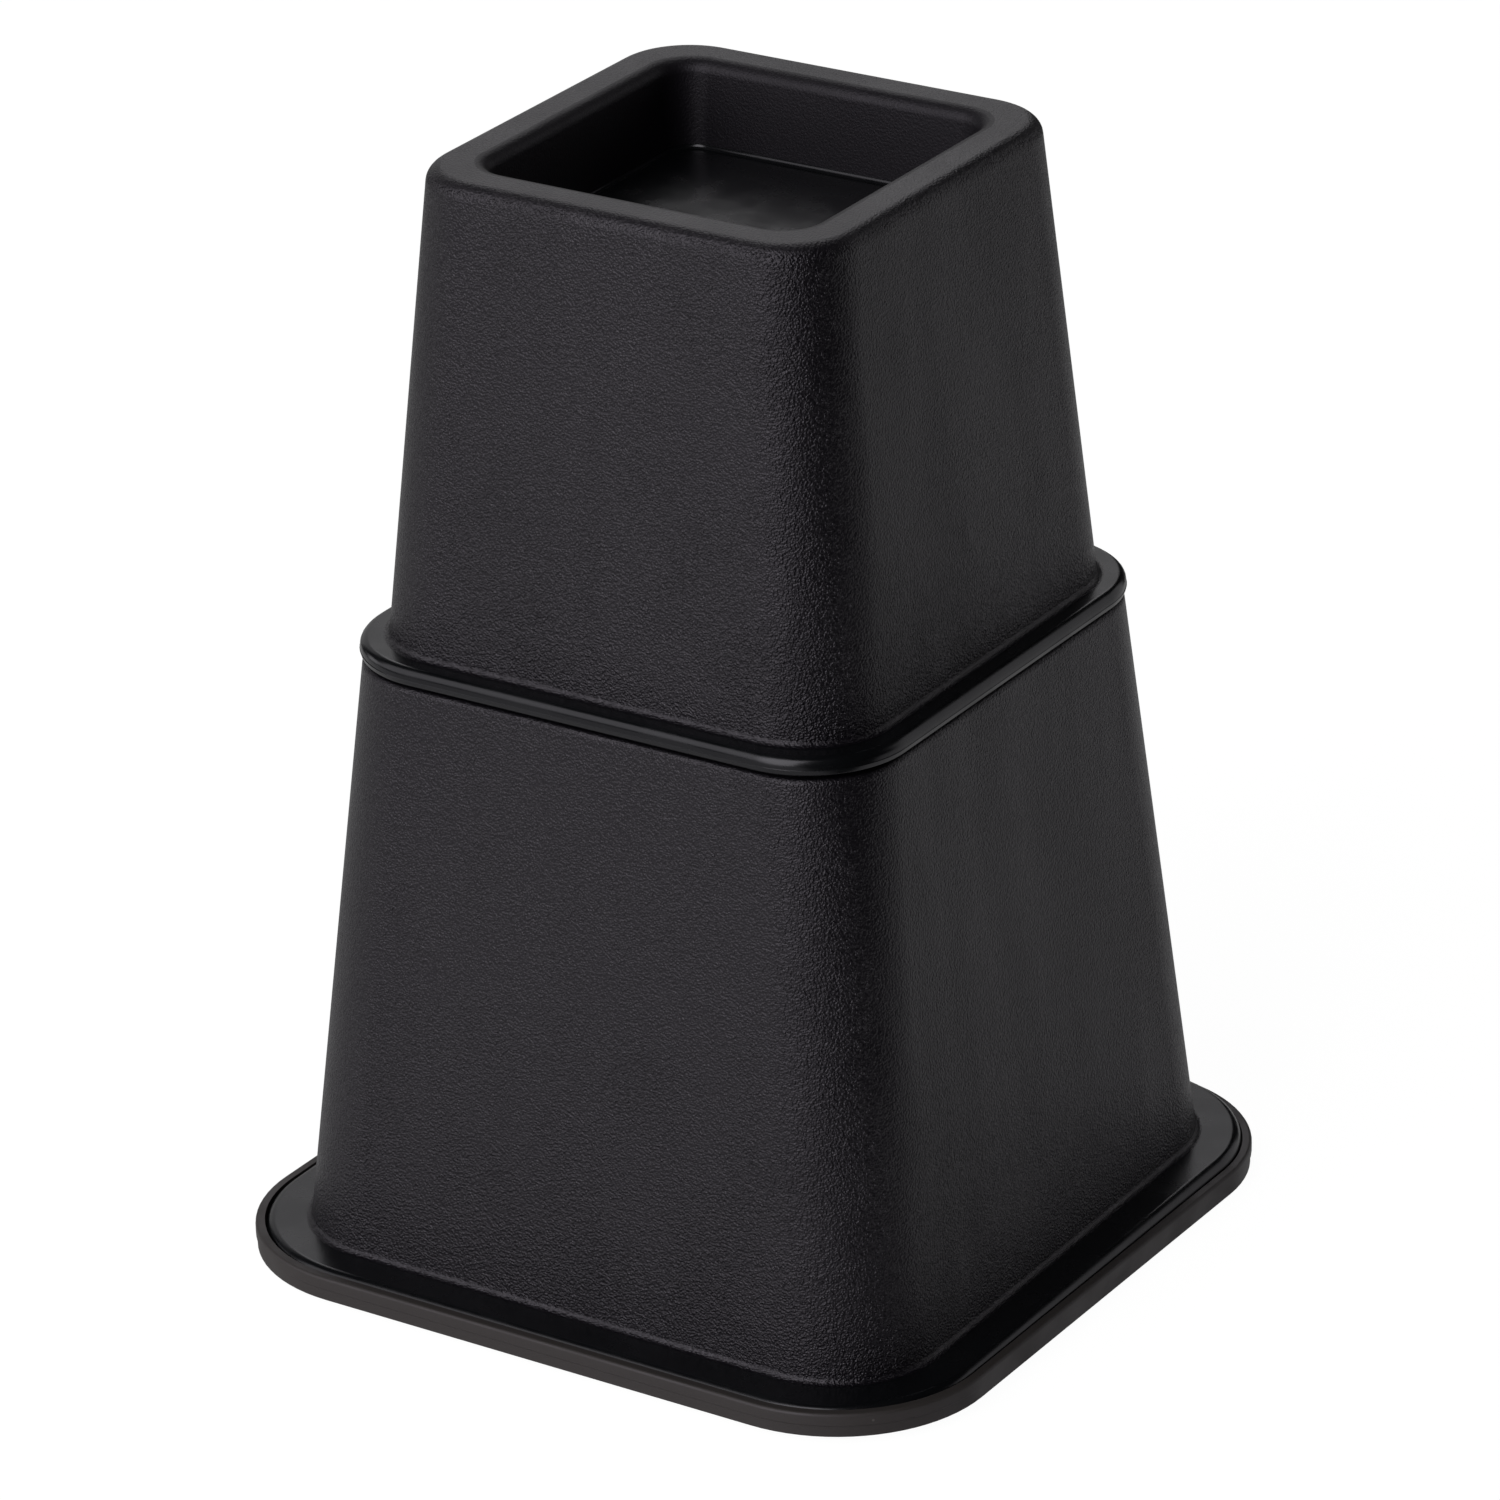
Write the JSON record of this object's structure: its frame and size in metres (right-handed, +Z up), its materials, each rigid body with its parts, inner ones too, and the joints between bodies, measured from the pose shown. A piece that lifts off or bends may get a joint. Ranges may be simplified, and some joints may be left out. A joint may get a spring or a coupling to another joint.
{
  "type": "bed riser",
  "caption": "Stacking square bed riser: a short tapered riser with a recess for a bed leg stands on a taller one, with a rubber band foot round the base.",
  "frame": {"origin": "centre of the rubber foot's underside, on the ground", "axes": "+Z up through the leg recess, X and Y square to the side walls"},
  "size_m": [0.147, 0.147, 0.203],
  "materials": {
    "grained_plastic": "moulded leather grain on the walls, fine matte rim, smooth flange and recess",
    "foot_rubber": "plain dull rubber"
  },
  "bodies": {
    "root": {"upper_riser": "grained_plastic", "lower_riser": "grained_plastic", "rubber_foot": "foot_rubber"}
  },
  "joints": []
}
